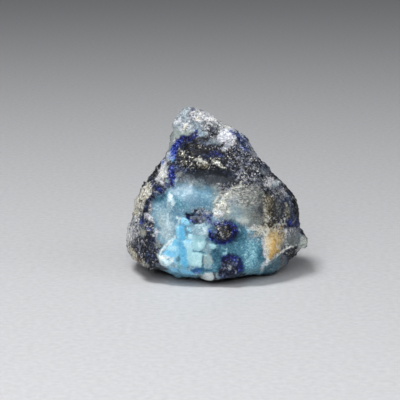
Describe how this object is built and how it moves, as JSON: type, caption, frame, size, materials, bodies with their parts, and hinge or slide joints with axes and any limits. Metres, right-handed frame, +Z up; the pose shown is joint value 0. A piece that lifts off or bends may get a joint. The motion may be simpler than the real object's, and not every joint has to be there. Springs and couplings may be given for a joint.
{
  "type": "afghanite specimen",
  "caption": "Rough broken lump of blue afghanite rock with a blunt leaning peak, pale cleavage plates low on the show face and a flat break to rest on.",
  "frame": {"origin": "middle of the lump's outline seen from above, level with the flat break that it rests on", "axes": "+X to the right along the show face, +Y from the show face to the back, +Z up"},
  "size_m": [0.0344, 0.0256, 0.0317],
  "materials": {
    "blue_rock": "broken rock, glassy where it is blue and granular where it is dark"
  },
  "bodies": {
    "root": {"afghanite_rock": "blue_rock"}
  },
  "joints": []
}
